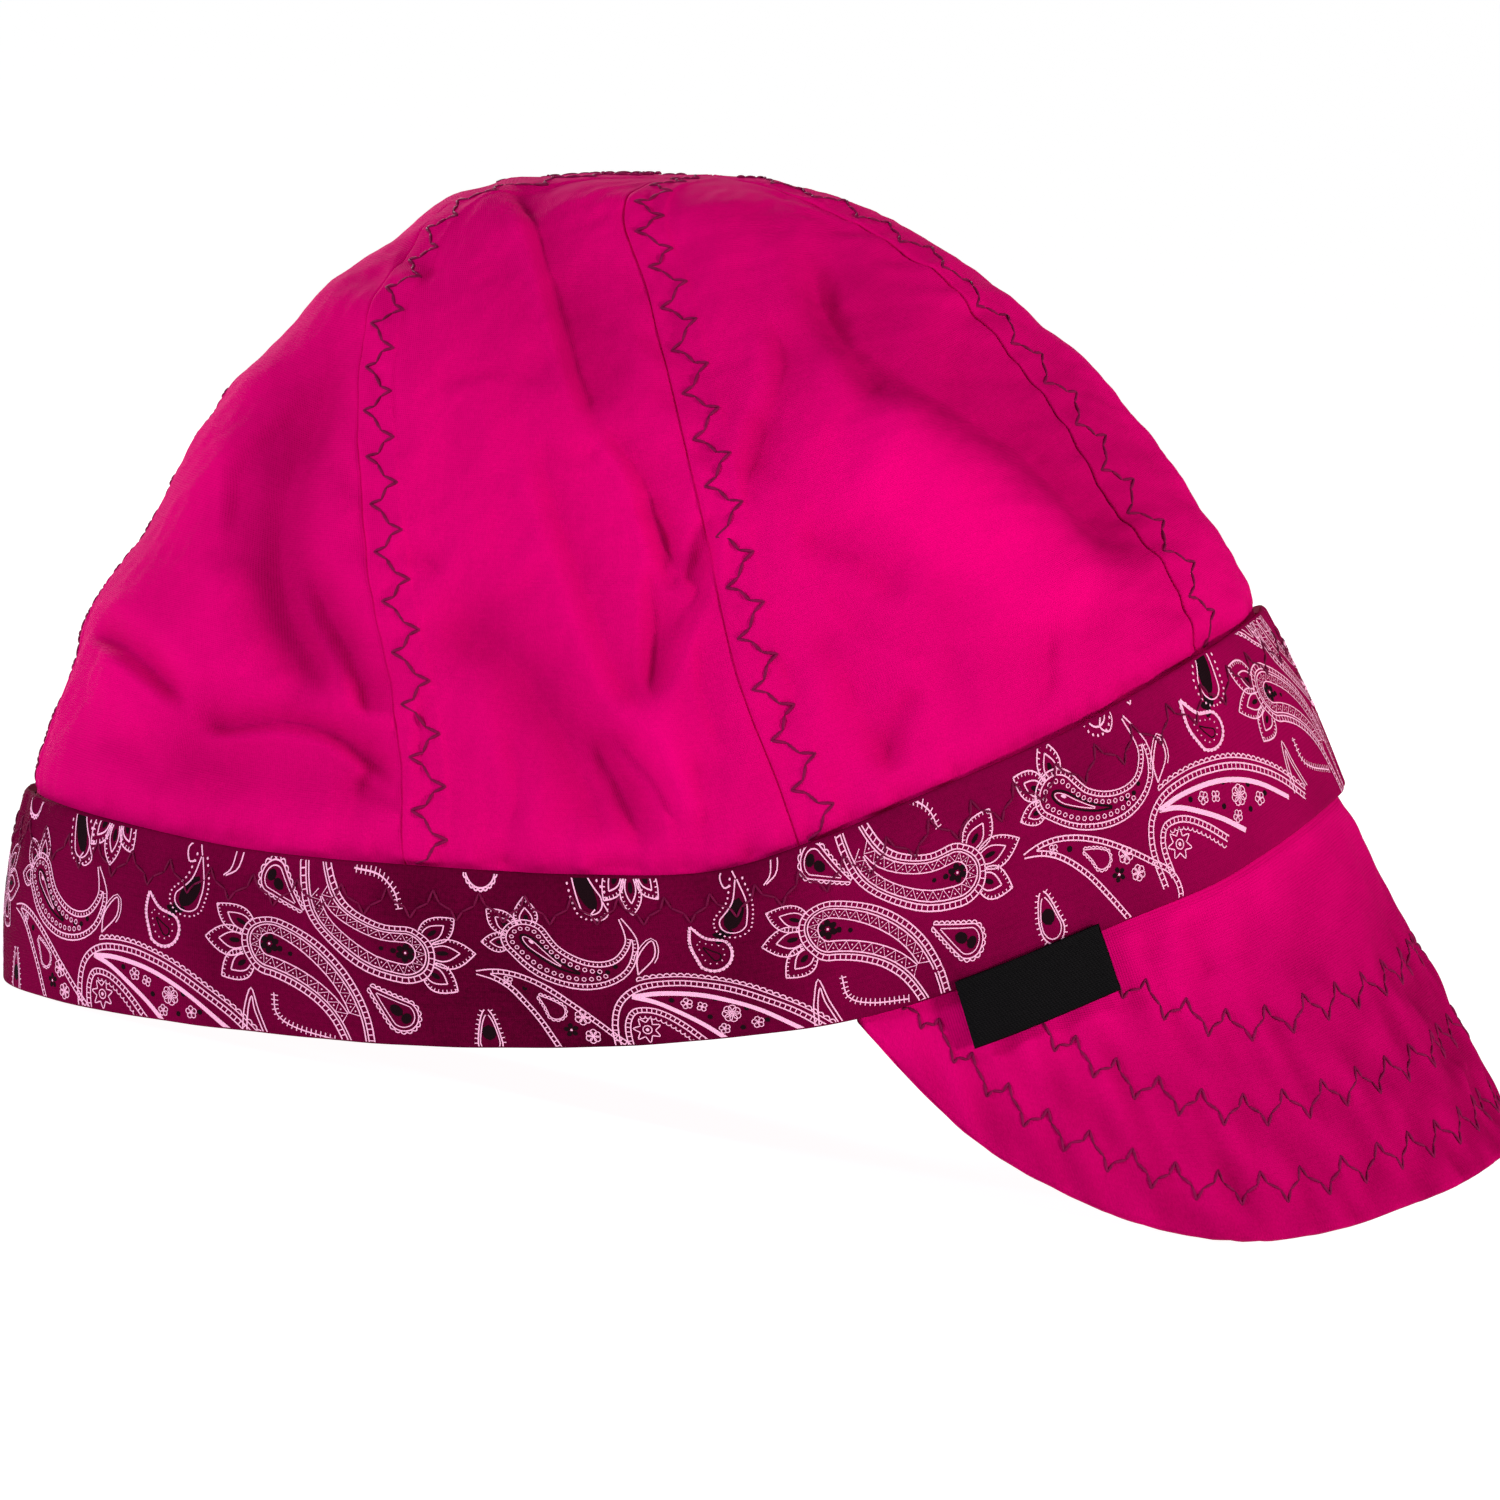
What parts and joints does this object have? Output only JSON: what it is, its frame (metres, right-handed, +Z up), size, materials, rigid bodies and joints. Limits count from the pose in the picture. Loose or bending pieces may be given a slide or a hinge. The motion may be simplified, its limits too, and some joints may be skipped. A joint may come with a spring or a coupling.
{
  "type": "welding cap",
  "caption": "Cloth welding cap: domed panelled crown with zigzag seams, printed hem band, short stiffened peak and a blank side label.",
  "frame": {"origin": "centre of the overall box on the floor plane that the cap rests on", "axes": "+X towards the peak, +Y towards the wearer's left, +Z up from the floor"},
  "size_m": [0.2562, 0.1398, 0.156],
  "materials": {
    "crown_cloth": "bright pink plain cotton, matt",
    "print_cloth": "wine cotton with white and black paisley print",
    "peak_cloth": "bright pink cotton over a soft stiffener",
    "label_ribbon": "black woven satin ribbon, blank"
  },
  "bodies": {
    "root": {"crown_panel_front": "crown_cloth", "crown_panel_right": "crown_cloth", "crown_panel_rear_right": "crown_cloth", "crown_panel_back_right": "crown_cloth", "crown_panel_rear_left": "crown_cloth", "crown_panel_left": "crown_cloth", "hem_band": "print_cloth", "peak": "peak_cloth", "side_label": "label_ribbon"}
  },
  "joints": []
}
